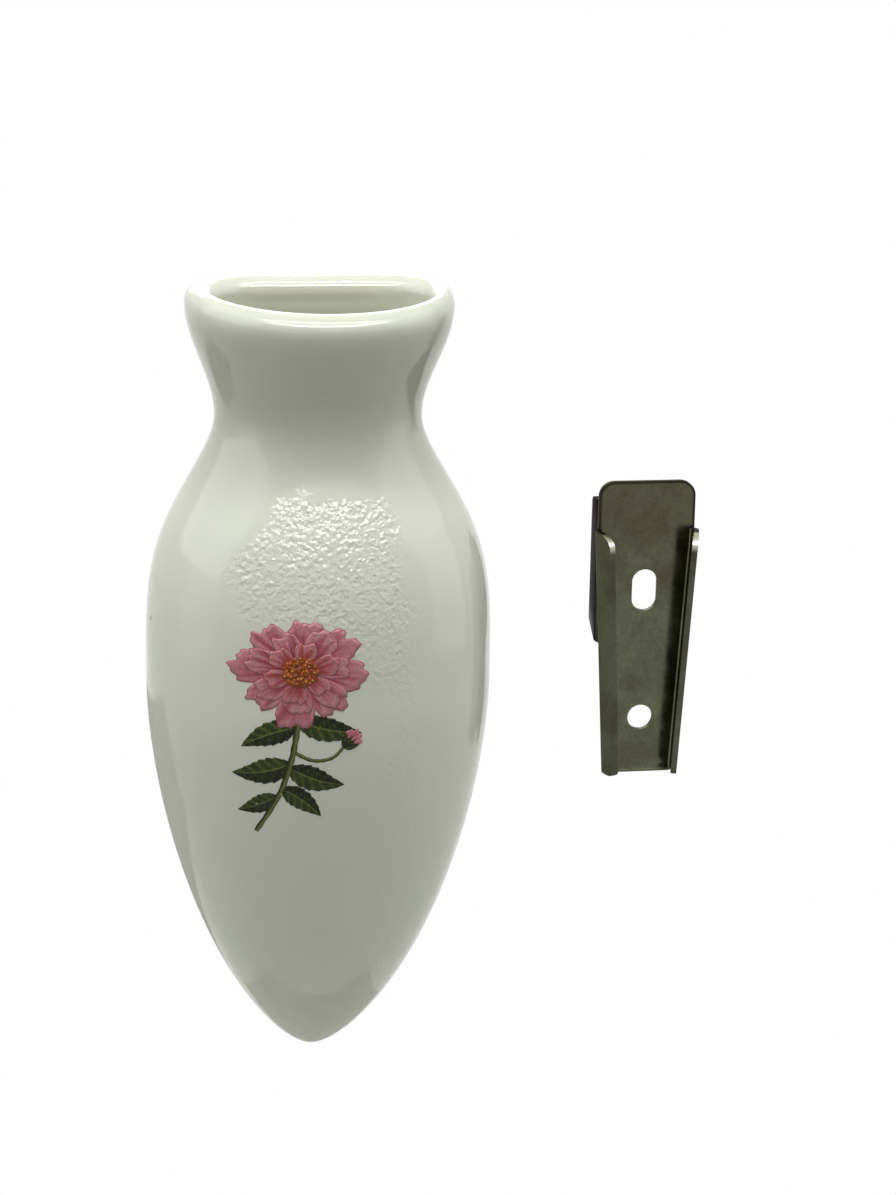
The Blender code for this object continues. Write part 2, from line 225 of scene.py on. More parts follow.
STEM_TONES = (-1.0, STEM_GREEN), (-0.3, STEM_PALE), (0.4, STEM_GREEN), (1.0, LEAF_DARK)
# Pale specks: bare spots in the print, and painted glints
BARE_SPECK_AND_GLINT = srgb(0.90, 0.88, 0.82)

# Rows of petals: count, length, half spread, first turn, tones and layer
PETAL_RINGS = (
    (8, 10.9, 0.50, 0.10, OUTER_TONES, 4.0),
    (7, 8.6, 0.50, 0.52, MIDDLE_TONES, 8.0),
    (6, 6.0, 0.58, 0.20, INNER_TONES, 12.0),
)
BLOOM_SQUASH = 0.84
HEART_DROP = 0.3
HEART_RADIUS = 3.0
STAMENS = 90
GOLDEN_ANGLE = 2.39996
HEART_LAYER = 16.0
ANTHER_LAYER = 19.0

# Bud: turn and length of its petals and sepals
BUD_ROOT = (7.7, -14.3)
BUD_TURN = 0.75
BUD_PETALS = ((-0.32, 3.6), (0.34, 3.5), (0.0, 4.1))
BUD_SEPALS = ((-0.75, 3.0), (0.8, 2.9), (-0.2, 2.6), (0.3, 2.4))

# Stems: points, width and layer
STEMS = (
    (((0.2, -5.0), (-0.6, -11.0), (-1.6, -17.0), (-3.6, -23.5), (-7.4, -31.0)), 1.15, 2.0),
    (((-1.2, -15.0), (2.2, -16.6), (5.6, -16.2), (7.6, -14.2)), 0.7, 1.5),
)

# Leaves: root, turn, length, width, bend, seed and layer
LEAVES = (
    ((-0.4, -9.2), 1.95, 11.5, 4.6, -0.35, 0.1, 0.5),
    ((-0.6, -10.4), -1.75, 10.5, 4.4, -0.45, 0.4, 0.6),
    ((-0.2, -8.2), -2.25, 7.5, 3.2, 0.5, 0.8, 0.2),
    ((-1.6, -17.2), -2.05, 10.5, 4.8, 0.5, 0.3, 0.7),
    ((-1.9, -18.0), 2.15, 10.5, 4.6, -0.5, 0.6, 0.8),
    ((-3.2, -22.2), 2.0, 9.0, 3.9, 0.45, 0.2, 0.4),
    ((-3.8, -23.6), -2.2, 7.6, 3.5, 0.35, 0.9, 0.3),
)

# Colours of the glaze and the steel; graze is the tint of the steel seen at a low angle
GLAZE_TONES = srgb(0.892, 0.903, 0.836), srgb(0.875, 0.896, 0.820)
# Painted shade: grey for the neck and the underside of the lip, where the rim shades them
PAINTED_NECK_SHADE = srgb(0.793, 0.802, 0.732)
# Painted shade: a darker band on the back wall inside the mouth, just under the lip
PAINTED_MOUTH_SHADE = srgb(0.79, 0.79, 0.71)
GLAZE_SPECK = srgb(0.30, 0.28, 0.22)
WEB_TONES = srgb(0.30, 0.302, 0.24), srgb(0.365, 0.375, 0.30), srgb(0.30, 0.278, 0.215)
EDGE_TONES = srgb(0.25, 0.25, 0.205), srgb(0.31, 0.315, 0.265), srgb(0.25, 0.235, 0.18)
SADDLE_TONES = srgb(0.19, 0.185, 0.17), srgb(0.23, 0.225, 0.21), srgb(0.18, 0.165, 0.14)
# Painted shade: a dark line round the edge of the tab
TAB_EDGE_SHADE = srgb(0.17, 0.165, 0.12)
# Worn steel on the heads of the flanges, lightened into a painted highlight
RUBBED_STEEL_AND_HIGHLIGHT = srgb(0.74, 0.74, 0.67)
WEB_GRAZE = 0.55
EDGE_GRAZE = 0.4
SADDLE_GRAZE = 0.37
FLOOR_TONES = srgb(0.80, 0.80, 0.79), srgb(0.83, 0.83, 0.82)
CARD_TONES = (0.012, 0.012, 0.010, 1.0), (0.02, 0.02, 0.017, 1.0)


# Helpers for meshes

def smooth(share):
    """Ease from 0 to 1 with level ends."""
    share = min(max(share, 0.0), 1.0)
    return share * share * (3.0 - 2.0 * share)


def round_drop(distance, radius, depth):
    """Fall of a rounded corner at a distance into it, from 0 to its radius."""
    share = min(max(distance / radius, 0.0), 1.0)
    return depth * (1.0 - math.sqrt(1.0 - share * share))


def add_object(name, data):
    """New object in the scene."""
    obj = bpy.data.objects.new(name, data)
    bpy.context.scene.collection.objects.link(obj)
    return obj


def make_object(name, bm, place, materials=()):
    """Turn a bmesh into a smooth object whose place is in its mesh."""
    mesh = bpy.data.meshes.new(name)
    bmesh.ops.translate(bm, verts=bm.verts, vec=place)
    bm.to_mesh(mesh)
    bm.free()
    for material in materials:
        mesh.materials.append(material)
    mesh.shade_smooth()
    mesh.set_sharp_from_angle(angle=math.radians(CAST_SHARP_ANGLE))
    return add_object(name, mesh)


def settle(obj, *helpers):
    """Apply the modifiers of a mesh, and remove the helpers they used."""
    graph = bpy.context.evaluated_depsgraph_get()
    mesh = bpy.data.meshes.new_from_object(obj.evaluated_get(graph), depsgraph=graph)
    obj.modifiers.clear()
    obj.data = mesh
    for helper in helpers:
        bpy.data.objects.remove(helper, do_unlink=True)


def add_boolean(obj, helper, operation):
    """Join a helper to a mesh, or cut it out, as a modifier."""
    modifier = obj.modifiers.new(helper.name, "BOOLEAN")
    modifier.operation = operation
    modifier.solver = "EXACT"
    modifier.object = helper


def spaced(low, high, count):
    """Even steps from low to high, with both ends."""
    return [low + (high - low) * i / count for i in range(count + 1)]


def rounded(start, radius):
    """Steps into a round corner, closer towards its end."""
    return [start + radius * math.sin(math.pi / 2 * i / ROUND_SEGMENTS)
            for i in range(ROUND_SEGMENTS + 1)]


def mirrored(columns):
    """Columns of points mirrored across the middle, in reverse order."""
    return [[(-x, y, z) for x, y, z in column] for column in reversed(columns)]


# Shape of the vase, in its own frame: the tip at height 0 and the back at y = 0

def profile(height, tip, belly, neck, rim):
    """Half width or depth at a height, from the sizes at the belly, neck and rim."""
    if height < BELLY_HEIGHT:
        rise = max(height - tip, 0.0) / (BELLY_HEIGHT - tip)
        return belly * (1.0 - (1.0 - rise) ** TAPER_FULLNESS) ** TIP_ROUNDNESS
    if height < NECK_HEIGHT:
        rise = (height - BELLY_HEIGHT) / (NECK_HEIGHT - BELLY_HEIGHT)
        return neck + (belly - neck) * smooth(1.0 - rise ** SHOULDER_DROP)
    rise = (height - NECK_HEIGHT) / (FLARE_TOP - NECK_HEIGHT)
    return neck + (rim - neck) * smooth(rise)


def corner_setback(half_width, back, front, corner):
    """How far the side of a section stands in front of its flat back."""
    setback = corner * (1.0 - math.exp(-half_width / corner))
    return min(setback, MOST_SETBACK * (front - back))


def section(half_width, back, front, corner):
    """Points round a D section: flat back, round corners, full front."""
    setback = corner_setback(half_width, back, front, corner)
    flat = half_width - setback
    corner_points = []
    for i in range(CORNER_SEGMENTS + 1):
        angle = math.pi / 2 * i / CORNER_SEGMENTS
        depth = back + setback * (1.0 - math.sin(angle))
        corner_points.append((flat + setback * math.cos(angle), -depth))
    points = [(flat * (2.0 * i / BACK_SEGMENTS - 1.0), -back) for i in range(BACK_SEGMENTS)]
    points += reversed(corner_points[1:])
    bulge = front - back - setback
    for i in range(FRONT_SEGMENTS):
        angle = math.pi * i / FRONT_SEGMENTS
        across = math.copysign(abs(math.cos(angle)) ** (2.0 / FRONT_SQUARENESS), math.cos(angle))
        forward = abs(math.sin(angle)) ** (2.0 / FRONT_SQUARENESS)
        points.append((half_width * across, -back - setback - bulge * forward))
    return points + [(-x, y) for x, y in corner_points[:-1]]


def ring(half_width, back, front, corner, height, shift=0.0):
    """Section at a height, moved across; the front of the rim dips below its back."""
    dip = RIM_DIP * smooth((height - NECK_HEIGHT) / (VASE_HEIGHT - NECK_HEIGHT))
    points = section(half_width, back, front, corner)
    return [(x + shift, y, height - dip * (y / front) ** 2) for x, y in points]


def wall_heights(start):
    """Heights of the rings from a tip to the top of the flare, closest near the tip."""
    taper = BELLY_HEIGHT - start
    heights = [start + taper * (i / LOWER_RINGS) ** TIP_CROWDING for i in range(1, LOWER_RINGS)]
    heights += spaced(BELLY_HEIGHT, NECK_HEIGHT, SHOULDER_RINGS)[:-1]
    return heights + spaced(NECK_HEIGHT, FLARE_TOP, FLARE_RINGS)


def wall_sizes(height, tip, inset, belly_inset, rim_inset, corner):
    """Half width, back, front and corner of a wall that stands in from the outside."""
    half_width = profile(height, tip, BELLY_WIDTH / 2 - belly_inset, NECK_WIDTH / 2 - belly_inset,
                         RIM_WIDTH / 2 - rim_inset)
    belly, neck, rim = (depth - TIP_SETBACK for depth in (BELLY_DEPTH, NECK_DEPTH, RIM_DEPTH))
    reach = profile(height, tip, belly - 2 * belly_inset, neck - 2 * belly_inset,
                    rim - 2 * rim_inset)
    back = inset + round_drop(tip + TIP_RISE - height, TIP_RISE, TIP_SETBACK)
    return half_width, back, inset + TIP_SETBACK + reach, corner


def outer_sizes(height):
    """The same sizes for the outside of the vase."""
    return wall_sizes(height, 0.0, 0.0, 0.0, 0.0, SIDE_SETBACK)


def inner_ring(height):
    """Hollow of the vase: a wall inside the outside, or a lip at the rim."""
    rise = smooth((height - NECK_HEIGHT) / (FLARE_TOP - NECK_HEIGHT))
    inset = WALL + (LIP_THICKNESS - WALL) * rise
    corner = HOLLOW_SETBACK + (MOUTH_SETBACK - HOLLOW_SETBACK) * rise
    half_width, back, front, corner = wall_sizes(height, FLOOR_THICKNESS, inset, WALL,
                                                 LIP_THICKNESS, corner)
    half_width += (LIP_THICKNESS - SIDE_LIP) * rise
    front += (LIP_THICKNESS - FRONT_LIP) * rise
    return ring(half_width, back, front, corner, height, MOUTH_SHIFT * rise)


def lip_rings():
    """Half-round lip from the outside of the rim to its inside."""
    rings = []
    for i in range(1, 2 * LIP_RINGS):
        angle = math.pi * i / (2 * LIP_RINGS)
        inset = LIP_RADIUS * (1.0 - math.cos(angle))
        height = FLARE_TOP + LIP_RADIUS * math.sin(angle)
        corner = SIDE_SETBACK + (MOUTH_SETBACK - SIDE_SETBACK) * i / (2 * LIP_RINGS)
        half_width = RIM_WIDTH / 2 - inset * SIDE_LIP / LIP_THICKNESS
        front = RIM_DEPTH - inset * FRONT_LIP / LIP_THICKNESS
        shift = MOUTH_SHIFT * inset / LIP_THICKNESS
        rings.append(ring(half_width, inset, front, corner, height, shift))
    return rings


def loft(bm, rings, first_point, last_point):
    """Skin a stack of rings and close both ends on a point."""
    loops = [[bm.verts.new(point) for point in points] for points in rings]
    for low, high in zip(loops, loops[1:]):
        for i in range(len(low)):
            j = (i + 1) % len(low)
            bm.faces.new((low[j], low[i], high[i], high[j]))
    for loop, point in ((loops[0], first_point), (loops[-1], last_point)):
        pole = bm.verts.new(point)
        for i in range(len(loop)):
            bm.faces.new((loop[i], loop[(i + 1) % len(loop)], pole))
    bmesh.ops.recalc_face_normals(bm, faces=bm.faces)


def front_y(x, height):
    """Front face of the vase at a place across and a height."""
    half_width, back, front, corner = outer_sizes(height)
    setback = corner_setback(half_width, back, front, corner)
    across = min(abs(x) / half_width, 1.0)
    forward = (1.0 - across ** FRONT_SQUARENESS) ** (1.0 / FRONT_SQUARENESS)
    return -back - setback - (front - back - setback) * forward


def back_y(x, height):
    """Back face of the vase at a place across and a height."""
    half_width, back, front, corner = outer_sizes(height)
    setback = corner_setback(half_width, back, front, corner)
    into_corner = abs(x) - (half_width - setback)
    return -back - round_drop(into_corner, setback, setback)


def root_half_width(height):
    """Inner half width of the channel where flange and web would meet."""
    taper = (CHANNEL_HEAD_WIDTH - CHANNEL_FOOT_WIDTH) / 2 / FLANGE_HEIGHT
    return CHANNEL_FOOT_WIDTH / 2 + taper * height


def tongue_outline(depth, grow):
    """Outline of the tongue at a depth behind the vase, let out by a margin."""
    lean = math.tan(FLANGE_LEAN)
    gap = SLIDE_CLEARANCE / math.cos(FLANGE_LEAN)
    behind = TONGUE_DEPTH + SLIDE_CLEARANCE - max(depth, 0.0)
    low = root_half_width(SEAT_HEIGHT) - lean * behind - gap + grow
    high = root_half_width(SEAT_HEIGHT + TONGUE_LENGTH) - lean * behind - gap + grow
    bottom, top = TONGUE_BOTTOM - grow, TONGUE_BOTTOM + TONGUE_LENGTH + grow
    radius = TONGUE_ROUND + max(grow, 0.0)
    points = []
    corners = ((low, bottom, -90.0), (high, top, 0.0), (-high, top, 90.0), (-low, bottom, 180.0))
    for x, z, start in corners:
        cx = x - math.copysign(radius, x)
        cz = z + radius if z == bottom else z - radius
        for i in range(TONGUE_STEPS + 1):
            angle = math.radians(start + 90.0 * i / TONGUE_STEPS)
            points.append((cx + radius * math.cos(angle), cz + radius * math.sin(angle)))
    spread = []
    for (x0, z0), (x1, z1) in zip(points, points[1:] + points[:1]):
        steps = max(1, round(math.hypot(x1 - x0, z1 - z0) / TONGUE_SPACING))
        spread += [(x0 + (x1 - x0) * i / steps, z0 + (z1 - z0) * i / steps) for i in range(steps)]
    return spread


def make_tongue():
    """Wedge on the back of the vase, with a soft root and rounded rear edges."""
    count = len(tongue_outline(TONGUE_DEPTH, 0.0))
    rings = []

    def add(points, depth_of):
        steps = [points[round(i * len(points) / count) % len(points)] for i in range(count)]
        rings.append([(x, depth_of(x, z), z) for x, z in steps])

    add(tongue_outline(0.0, TONGUE_FILLET), lambda x, z: back_y(x, z) - WALL / 2)
    for i in range(TONGUE_STEPS + 1):
        angle = math.radians(TONGUE_ROOT_TURN * i / TONGUE_STEPS)
        grow = TONGUE_FILLET * (1.0 - math.sin(angle))
        rise = TONGUE_FILLET * (1.0 - math.cos(angle)) - TONGUE_ROOT_SINK
        share = i / TONGUE_STEPS
        add(tongue_outline(rise, grow), lambda x, z: (1.0 - share) * back_y(x, z) + rise)
    for i in range(TONGUE_STEPS + 1):
        angle = math.pi / 2 * i / TONGUE_STEPS
        depth = TONGUE_DEPTH - TONGUE_ROUND * (1.0 - math.sin(angle))
        grow = -TONGUE_ROUND * TONGUE_EDGE_SHARE * (1.0 - math.cos(angle))
        add(tongue_outline(depth, grow), lambda x, z: depth)
    bm = bmesh.new()
    loops = [[bm.verts.new(point) for point in points] for points in rings]
    for low, high in zip(loops, loops[1:]):
        for i in range(count):
            j = (i + 1) % count
            bm.faces.new((low[i], low[j], high[j], high[i]))
    bm.faces.new(loops[0])
    bm.faces.new(loops[-1])
    bmesh.ops.recalc_face_normals(bm, faces=bm.faces)
    return make_object("tongue_helper", bm, VASE_PLACE)


def make_vase(glaze):
    """Hollow porcelain vase with its tongue, as one skin."""
    outside = [ring(*outer_sizes(height), height) for height in wall_heights(0.0)]
    inside = [inner_ring(height) for height in reversed(wall_heights(FLOOR_THICKNESS))]
    bm = bmesh.new()
    loft(bm, outside + lip_rings() + inside, (0.0, -TIP_SETBACK, 0.0),
         (0.0, -WALL - TIP_SETBACK, FLOOR_THICKNESS))
    vase = make_object("vase_porcelain", bm, VASE_PLACE, [glaze])
    tongue = make_tongue()
    add_boolean(vase, tongue, "UNION")
    settle(vase, tongue)
    return vase


# Flower transfer: places are in millimetres right of and above the middle of the bloom

def blend(first, second, share):
    """Colour between two colours."""
    share = min(max(share, 0.0), 1.0)
    return tuple(a + (b - a) * share for a, b in zip(first, second))


class Transfer:
    """Fired print on the vase, built up from thin coloured patches."""

    def __init__(self):
        self.bm = bmesh.new()
        self.tint = self.bm.verts.layers.float_color.new("tint")

    def point(self, right, up, layer, colour):
        """Vertex on the front of the vase."""
        x = BLOOM_X + right / 1000.0
        height = BLOOM_HEIGHT + up / 1000.0
        lift = LAYER_LIFT + layer * LAYER_STEP
        vert = self.bm.verts.new((x, front_y(x, height) - lift, height))
        vert[self.tint] = colour
        return vert

    def patch(self, rows, layer):
        """Quads over rows of (right, up, colour)."""
        grid = [[self.point(right, up, layer, colour) for right, up, colour in row] for row in rows]
        for low, high in zip(grid, grid[1:]):
            for i in range(len(low) - 1):
                self.bm.faces.new((low[i], low[i + 1], high[i + 1], high[i]))

    def dot(self, right, up, radius, layer, colour):
        """Small round patch of one colour."""
        angles = [math.tau * i / DOT_SIDES for i in range(DOT_SIDES)]
        self.bm.faces.new([self.point(right + radius * math.cos(angle),
                                      up + radius * math.sin(angle), layer, colour)
                           for angle in angles])

    def petal(self, root, turn, length, spread, tones, seed, layer, squash=1.0):
        """Broad petal as a fan: deep at the root, streaked, paler along a rippled lip."""
        deep, middle, pale = tones
        rows = []
        for i in range(PETAL_ROWS + 1):
            out = 0.12 + 0.88 * i / PETAL_ROWS
            row = []
            for j in range(PETAL_COLUMNS + 1):
                side = 0.985 * (2.0 * j / PETAL_COLUMNS - 1.0)
                ripple = (1.0 + 0.04 * math.sin(8.0 * side + seed)
                          + 0.025 * math.sin(19.0 * side + 2.3 * seed))
                notch = 1.0 - 0.07 * math.exp(-((side - 0.2 * math.sin(seed)) / 0.14) ** 2)
                reach = length * (1.0 - abs(side) ** 3.0) ** 0.4 * ripple * notch
                angle = turn + spread * side * (0.5 + 0.5 * out)
                streak = noise.noise(Vector((5.0 * side + seed, 1.5 * out, seed)))
                colour = blend(deep, middle, smooth(1.5 * out - 0.25 + 0.5 * streak))
                colour = blend(colour, pale, 0.8 * smooth(2.2 * out - 1.25 + 0.9 * streak))
                row.append((root[0] + reach * out * math.sin(angle),
                            root[1] + squash * reach * out * math.cos(angle), colour))
            rows.append(row)
        self.patch(rows, layer)

    def leaf(self, root, turn, length, width, bend, seed, layer):
        """Toothed leaf along a bent rib, one half in shade, with paler veins."""
        rows = []
        right, up = root
        for i in range(LEAF_ROWS + 1):
            along = i / LEAF_ROWS
            angle = turn + bend * along
            ahead = (math.sin(angle), math.cos(angle))
            half = max(width / 2 * math.sin(math.pi * along ** 0.72) ** 0.9, 0.05)
            tooth = 1.0 + 0.16 * ((7.0 * along + seed) % 1.0 - 0.5)
            row = []
            for side in LEAF_SIDES:
                reach = half * side * (tooth if abs(side) > 0.9 else 1.0)
                vein = math.cos(math.tau * (6.0 * along - 0.9 * abs(side) + seed))
                mottle = noise.noise(Vector((3.0 * side, 6.0 * along, seed)))
                green, veined = (0.8, 0.9) if side > 0 else (0.2, 0.4)
                colour = blend(LEAF_DARK, LEAF_GREEN, green + 0.6 * mottle)
                colour = blend(colour, LEAF_PALE, 0.45 * smooth(2.0 * vein - 1.0) * veined)
                colour = blend(colour, LEAF_PALE, 0.6 if side == 0.0 else 0.0)
                colour = blend(LEAF_DARK, colour, smooth(5.0 * along + 0.15))
                row.append((right + reach * ahead[1], up - reach * ahead[0], colour))
            rows.append(row)
            right += ahead[0] * length / LEAF_ROWS
            up += ahead[1] * length / LEAF_ROWS
        self.patch(rows, layer)

    def stem(self, points, width, layer):
        """Stem on a smooth path through points, lit on one side, tapering to its end."""
        path = []
        ends = [points[0]] + list(points) + [points[-1]]
        for a, b, c, d in zip(ends, ends[1:], ends[2:], ends[3:]):
            for i in range(STEM_STEPS):
                t = i / STEM_STEPS
                path.append([0.5 * (2 * q + (r - o) * t + (2 * o - 5 * q + 4 * r - e) * t * t
                                    + (3 * q - o - 3 * r + e) * t ** 3)
                             for o, q, r, e in zip(a, b, c, d)])
        path.append(list(points[-1]))
        rows = []
        for i, place in enumerate(path):
            before, after = path[max(i - 1, 0)], path[min(i + 1, len(path) - 1)]
            ahead = Vector((after[0] - before[0], after[1] - before[1])).normalized()
            half = width / 2 * (1.0 - 0.25 * i / len(path)) * (1.0 + 0.12 * math.sin(1.7 * i))
            rows.append([(place[0] + side * half * ahead.y, place[1] - side * half * ahead.x, tone)
                         for side, tone in STEM_TONES])
        self.patch(rows, layer)

    def rosette(self):
        """Open double bloom: rows of petals, each with a deeper edge behind."""
        for count, length, spread, start, tones, layer in PETAL_RINGS:
            for i in range(count):
                turn = start + math.tau * i / count
                seed = 1.7 * i + layer
                reach = length * (1.0 + 0.07 * math.sin(2.6 * i + layer))
                root = (0.6 * math.sin(turn), 0.5 * math.cos(turn) - HEART_DROP)
                shade = (tones[0], tones[0], blend(tones[0], tones[1], 0.4))
                self.petal(root, turn, 1.015 * reach, 1.02 * spread, shade, seed,
                           layer + (i % 3) - 0.5, BLOOM_SQUASH)
                self.petal(root, turn, reach, spread, tones, seed, layer + (i % 3), BLOOM_SQUASH)

    def stamens(self):
        """Dark orange heart with gold anthers, on a spiral."""
        for i in range(STAMENS):
            radius = HEART_RADIUS * math.sqrt((i + 0.5) / STAMENS)
            angle = GOLDEN_ANGLE * i
            place = (radius * math.sin(angle), BLOOM_SQUASH * radius * math.cos(angle) - HEART_DROP)
            heart = blend(ORANGE_DEEP, ORANGE, 0.5 + 0.5 * math.sin(3.1 * i))
            self.dot(*place, 0.46, HEART_LAYER + (i % 3), heart)
            if i % 2:
                anther = blend(ORANGE, GOLD, 0.5 + 0.5 * math.cos(1.9 * i))
                self.dot(*place, 0.17 + 0.05 * math.sin(5.3 * i), ANTHER_LAYER, anther)

    def bud(self, root, turn):
        """Closed bud in its sepals."""
        for offset, length in BUD_PETALS:
            self.petal(root, turn + offset, length, 0.42, OUTER_TONES, 3.0 + 4.0 * offset,
                       3.0 + offset)
        for offset, length in BUD_SEPALS:
            self.leaf(root, turn + offset, length, 1.1, -0.5 * offset, offset, 4.0 + offset)

    def finish(self, material):
        """Face all patches forward and thicken them to a film."""
        for face in self.bm.faces:
            face.normal_update()
            if face.normal.y > 0.0:
                face.normal_flip()
        piece = make_object("flower_transfer", self.bm, VASE_PLACE, [material])
        shell = piece.modifiers.new("film", "SOLIDIFY")
        shell.thickness = LAYER_THICKNESS
        shell.offset = -1.0
        settle(piece)
        return piece


def make_flower(material):
    """Rosette with a side bud and toothed leaves on a bent stem."""
    flower = Transfer()
    for stem in STEMS:
        flower.stem(*stem)
    flower.bud(BUD_ROOT, BUD_TURN)
    for leaf in LEAVES:
        flower.leaf(*leaf)
    flower.rosette()
    flower.stamens()
    return flower.finish(material)


# Bracket, in the frame of the channel's foot

def rounded_shares(edge_share):
    """Shares across a width from -1 to 1, closer in the rounded ends."""
    half = [0.0, (1.0 - edge_share) / 2] + rounded(1.0 - edge_share, edge_share)
    return [-share for share in reversed(half[1:])] + half


def sheet_grid(bm, columns):
    """Sheet of quads over columns of points; returns the columns of vertices."""
    grid = [[bm.verts.new(point) for point in column] for column in columns]
    for left, right in zip(grid, grid[1:]):
        for i in range(len(left) - 1):
            bm.faces.new((left[i], right[i], right[i + 1], left[i + 1]))
    return grid


def bend_places(turn):
    """Places round a bend: offset from where web and flange would meet, and depth off the web."""
    tangent = BEND_RADIUS * math.tan(turn / 2)
    places = []
    for i in range(1, BEND_SEGMENTS + 1):
        angle = math.pi / 2 - turn * i / BEND_SEGMENTS
        depth = BEND_RADIUS * (1.0 - math.sin(angle))
        places.append((BEND_RADIUS * math.cos(angle) - tangent, depth))
    return places


def channel_flange_places():
    """Places round the bend and along the right flange, as in bend_places."""
    places = bend_places(math.pi / 2 + FLANGE_LEAN)
    bend_end = places[-1][1]
    for depth in rounded(FLANGE_DEPTH - FLANGE_HEAD_ROUND, FLANGE_HEAD_ROUND):
        if depth > bend_end + SHEET / 4:
            places.append((-math.tan(FLANGE_LEAN) * depth, depth))
    return places


def channel_rows():
    """Rows up the flange, as shares of its height, close in the foot lip."""
    lip = FOOT_LIP_HEIGHT / FLANGE_HEIGHT
    return spaced(0.0, lip, FOOT_LIP_ROWS) + spaced(lip, 1.0, FLANGE_ROWS)[1:]


def foot_lip(height):
    """How far the foot of the web is turned forward at a height."""
    share = max(1.0 - height / FOOT_LIP_HEIGHT, 0.0)
    return FOOT_LIP_REACH * share * share


def flange_point(offset, depth, height):
    """Point of the right flange, which past its bend gets shallower to the foot."""
    bend_end = BEND_RADIUS * (1.0 + math.sin(FLANGE_LEAN))
    past_bend = max(depth - bend_end, 0.0) / (FLANGE_DEPTH - bend_end)
    lost = past_bend * (FLANGE_DEPTH - FLANGE_FOOT_DEPTH) * (1.0 - height / FLANGE_HEIGHT)
    in_bend = max(1.0 - depth / BEND_RADIUS, 0.0)
    x = root_half_width(height) + offset + math.tan(FLANGE_LEAN) * lost
    return x, lost - depth - in_bend * foot_lip(height), height


def channel_columns():
    """Left flange, web and right flange of the channel, as columns of points."""
    tangent = BEND_RADIUS * math.tan((math.pi / 2 + FLANGE_LEAN) / 2)
    web = []
    for share in rounded_shares(TAB_CORNER / (TAB_WIDTH / 2)):
        heights = [FLANGE_HEIGHT * row for row in channel_rows()]
        web.append([(share * (root_half_width(z) - tangent), -foot_lip(z), z) for z in heights])
    flange = []
    for offset, depth in channel_flange_places():
        past = depth - FLANGE_DEPTH
        foot = round_drop(past + FLANGE_FOOT_ROUND, FLANGE_FOOT_ROUND, FLANGE_FOOT_RISE)
        head = round_drop(past + FLANGE_HEAD_ROUND, FLANGE_HEAD_ROUND, FLANGE_HEAD_DROP)
        heights = [foot + (FLANGE_HEIGHT - head - foot) * row for row in channel_rows()]
        flange.append([flange_point(offset, depth, z) for z in heights])
    return mirrored(flange), web, flange


def tab_columns():
    """Tab above the web and its relief, up to the rounded top, as columns of points."""
    columns = []
    half = TAB_WIDTH / 2
    for share in rounded_shares(TAB_CORNER / half):
        x = share * half
        drop = round_drop(abs(x) - half + TAB_CORNER, TAB_CORNER, TAB_CORNER)
        rows = spaced(FLANGE_HEIGHT + TAB_RELIEF, FLANGE_HEIGHT + TAB_HEIGHT - drop, TAB_ROWS)
        columns.append([(x, 0.0, z) for z in rows])
    return columns


def slot_cutter(name, width, length, place, height):
    """Round-ended bar through the sheet: a plain round one if length equals width."""
    bm = bmesh.new()
    bmesh.ops.create_cone(bm, cap_ends=True, segments=HOLE_SEGMENTS, radius1=width / 2,
                          radius2=width / 2, depth=CUTTER_DEPTH)
    for vert in bm.verts:
        x, y, z = vert.co
        stretch = math.copysign((length - width) / 2, y) if abs(y) > width / 1000 else 0.0
        vert.co = (x, -z, y + stretch)
    bmesh.ops.recalc_face_normals(bm, faces=bm.faces)
    return make_object(name, bm, place + Vector((0, 0, height)))


def press_sheet(obj, cutters):
    """Give an open sheet its thickness, holes and worn edges."""
    sheet = obj.modifiers.new("sheet", "SOLIDIFY")
    sheet.thickness = SHEET
    sheet.offset = -1.0
    sheet.use_even_offset = True
    sheet.material_offset_rim = 1
    for cutter in cutters:
        add_boolean(obj, cutter, "DIFFERENCE")
    wear = obj.modifiers.new("worn_edges", "BEVEL")
    wear.width = EDGE_WEAR
    wear.segments = WEAR_SEGMENTS
    wear.limit_method = "ANGLE"
    wear.angle_limit = math.radians(WORN_ANGLE)
    settle(obj, *cutters)
    obj.data.shade_smooth()
    obj.data.set_sharp_from_angle(angle=math.radians(SHEET_SHARP_ANGLE))


def make_channel(steel, edge):
    """Pressed channel: web with tab, slot and hole, and two flanges that lean in."""
    bm = bmesh.new()
    left, web, right = channel_columns()
    grid = sheet_grid(bm, left + web + right)
    tab = sheet_grid(bm, tab_columns())
    web_grid = grid[len(left):len(left) + len(web)]
    for i in range(len(tab) - 1):
        bm.faces.new((web_grid[i][-1], web_grid[i + 1][-1], tab[i + 1][0], tab[i][0]))
    channel = make_object("channel_pressing", bm, BRACKET_PLACE, [steel, edge])
    slot = slot_cutter("slot_cutter", SLOT_WIDTH, SLOT_LENGTH, BRACKET_PLACE, SLOT_HEIGHT)
    hole = slot_cutter("hole_cutter", HOLE_DIAMETER, HOLE_DIAMETER, BRACKET_PLACE, HOLE_HEIGHT)
    press_sheet(channel, [slot, hole])
    return channel


def saddle_columns():
    """Left flange, web and right flange of the saddle, as columns of points."""
    edge = SADDLE_WIDTH / 2 - SHEET
    rows = spaced(0.0, SADDLE_LENGTH, SADDLE_ROWS)
    web = [[(share * (edge - BEND_RADIUS), 0.0, z) for z in rows]
           for share in (-1.0, -0.5, 0.0, 0.5, 1.0)]
    places = [(edge + offset, depth) for offset, depth in bend_places(math.pi / 2)]
    straight = SADDLE_DEPTH - SADDLE_CORNER
    places += [(edge, depth) for depth in rounded(straight, SADDLE_CORNER)]
    flange = []
    for x, depth in places:
        low = SADDLE_TAPER * depth / SADDLE_DEPTH
        high = SADDLE_LENGTH - round_drop(depth - straight, SADDLE_CORNER, SADDLE_CORNER)
        flange.append([(x, depth, z) for z in spaced(low, high, SADDLE_ROWS)])
    return mirrored(flange) + web + flange


